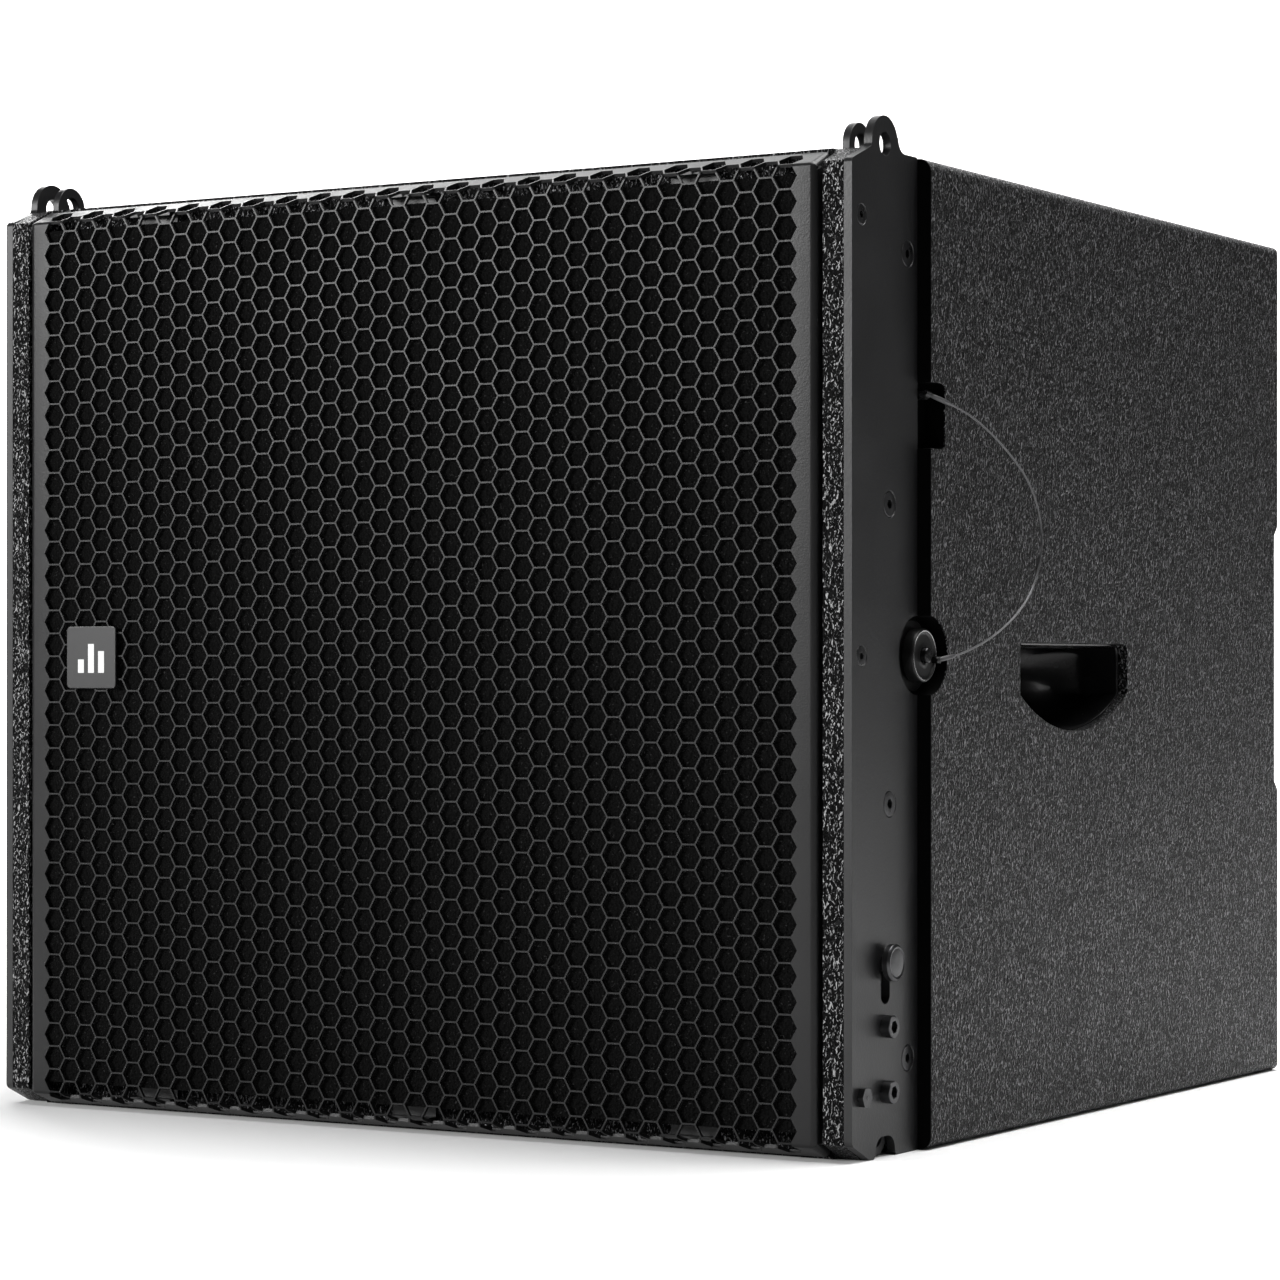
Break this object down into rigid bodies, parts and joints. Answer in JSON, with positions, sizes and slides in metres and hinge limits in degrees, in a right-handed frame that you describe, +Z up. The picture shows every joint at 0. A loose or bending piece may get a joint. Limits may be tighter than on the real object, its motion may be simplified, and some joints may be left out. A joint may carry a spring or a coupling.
{
  "type": "line array speaker",
  "caption": "Flyable bass loudspeaker cabinet of a line array with a perforated front grille, steel fly plates, sliding links, tethered lock pins and side handles.",
  "frame": {"origin": "middle of the base, in the plane that the cabinet stands on", "axes": "+X to the right as seen by a listener in front of the grille, +Y from the grille to the rear, +Z up"},
  "size_m": [0.4966, 0.4813, 0.4544],
  "materials": {
    "textured_paint": "textured black paint",
    "birch_ply": "raw plywood",
    "port_board": "painted",
    "damping_felt": "felt",
    "grille_paint": "satin powder coat",
    "speaker_foam": "open-cell foam",
    "badge_plate": "anodised",
    "satin_black_steel": "satin powder coat",
    "link_steel": "satin powder coat",
    "knob_steel": "blackened",
    "black_screws": "blackened",
    "pin_steel": "satin",
    "button_alloy": "anodised",
    "wire_rope": "stranded wire",
    "sleeve_plastic": "matte",
    "cup_plastic": "smooth",
    "socket_plastic": "matte",
    "connector_metal": "satin",
    "circuit_board": "lacquered",
    "cast_alloy": "painted casting",
    "gasket_rubber": "matte",
    "cone_paper": "pressed pulp",
    "copper_coil": "enamelled copper",
    "spider_cloth": "resin-dipped cloth",
    "motor_iron": "plated",
    "ferrite": "matt ceramic"
  },
  "bodies": {
    "root": {"side_panel_left": "textured_paint", "side_panel_right": "textured_paint", "top_panel": "textured_paint", "bottom_panel": "textured_paint", "rear_panel": "textured_paint", "front_baffle": "birch_ply", "window_brace": "birch_ply", "port_ducts": "port_board", "damping_lining": "damping_felt", "front_grille": "grille_paint", "grille_foam": "speaker_foam", "badge": "badge_plate", "fly_plate_left": "satin_black_steel", "fly_plate_right": "satin_black_steel", "inner_ear_plate_left": "satin_black_steel", "inner_ear_plate_right": "satin_black_steel", "grille_brackets": "satin_black_steel", "rear_fly_channel": "satin_black_steel", "plate_screws_large": "black_screws", "plate_screws_small": "black_screws", "guide_screws": "black_screws", "woofer_screws": "black_screws", "rear_channel_screws": "black_screws", "connector_screws": "black_screws", "earth_bolts": "black_screws", "rear_hinge_bolt": "black_screws", "pin_sockets": "pin_steel", "lanyard_anchors": "pin_steel", "lanyard_left": "wire_rope", "lanyard_right": "wire_rope", "anchor_sleeves": "sleeve_plastic", "handle_cup_left": "cup_plastic", "handle_cup_right": "cup_plastic", "rear_grip_liner_left": "cup_plastic", "rear_grip_liner_right": "cup_plastic", "speaker_sockets": "socket_plastic", "connector_plate": "connector_metal", "filter_board": "circuit_board", "woofer_basket": "cast_alloy", "woofer_gasket": "gasket_rubber", "woofer_surround": "gasket_rubber", "spider": "spider_cloth", "top_plate": "motor_iron", "pole_plate": "motor_iron", "ring_magnet": "ferrite"},
    "link_right": {"link_bar_right": "link_steel", "link_knob_right": "knob_steel"},
    "link_left": {"link_bar_left": "link_steel", "link_knob_left": "knob_steel"},
    "lock_pin_right": {"lock_pin_right": "pin_steel", "pin_sleeve_right": "sleeve_plastic"},
    "lock_pin_left": {"lock_pin_left": "pin_steel", "pin_sleeve_left": "sleeve_plastic"},
    "pin_button_right": {"pin_button_right": "button_alloy"},
    "pin_button_left": {"pin_button_left": "button_alloy"},
    "rear_arm": {"rear_link_arm": "satin_black_steel"},
    "rear_pin": {"rear_lock_pin": "pin_steel"},
    "cone": {"woofer_cone": "cone_paper", "dust_cap": "cone_paper", "voice_coil": "copper_coil"}
  },
  "joints": [
    {"name": "link_right_slide", "type": "slide", "parent": "root", "child": "link_right", "axis": [0, 0, -1], "range_m": [0, 0.014]},
    {"name": "lock_pin_right_pull", "type": "slide", "parent": "root", "child": "lock_pin_right", "axis": [1, 0, 0], "range_m": [0, 0.03], "deforming": ["lanyard_right"]},
    {"name": "pin_button_right_press", "type": "slide", "parent": "lock_pin_right", "child": "pin_button_right", "axis": [-1, 0, 0], "range_m": [0, 0.002], "stiffness_N_per_m": 600},
    {"name": "link_left_slide", "type": "slide", "parent": "root", "child": "link_left", "axis": [0, 0, -1], "range_m": [0, 0.014]},
    {"name": "lock_pin_left_pull", "type": "slide", "parent": "root", "child": "lock_pin_left", "axis": [-1, 0, 0], "range_m": [0, 0.03], "deforming": ["lanyard_left"]},
    {"name": "pin_button_left_press", "type": "slide", "parent": "lock_pin_left", "child": "pin_button_left", "axis": [1, 0, 0], "range_m": [0, 0.002], "stiffness_N_per_m": 600},
    {"name": "rear_arm_hinge", "type": "hinge", "parent": "root", "child": "rear_arm", "pos_m": [0, 0.2352, 0.424], "axis": [1, 0, 0], "range_deg": [0, 180]},
    {"name": "rear_pin_pull", "type": "slide", "parent": "root", "child": "rear_pin", "axis": [-1, 0, 0], "range_m": [0, 0.042]},
    {"name": "cone_travel", "type": "slide", "parent": "root", "child": "cone", "axis": [0, -1, 0], "range_m": [-0.008, 0.008], "stiffness_N_per_m": 4000, "deforming": ["woofer_surround", "spider"]}
  ]
}
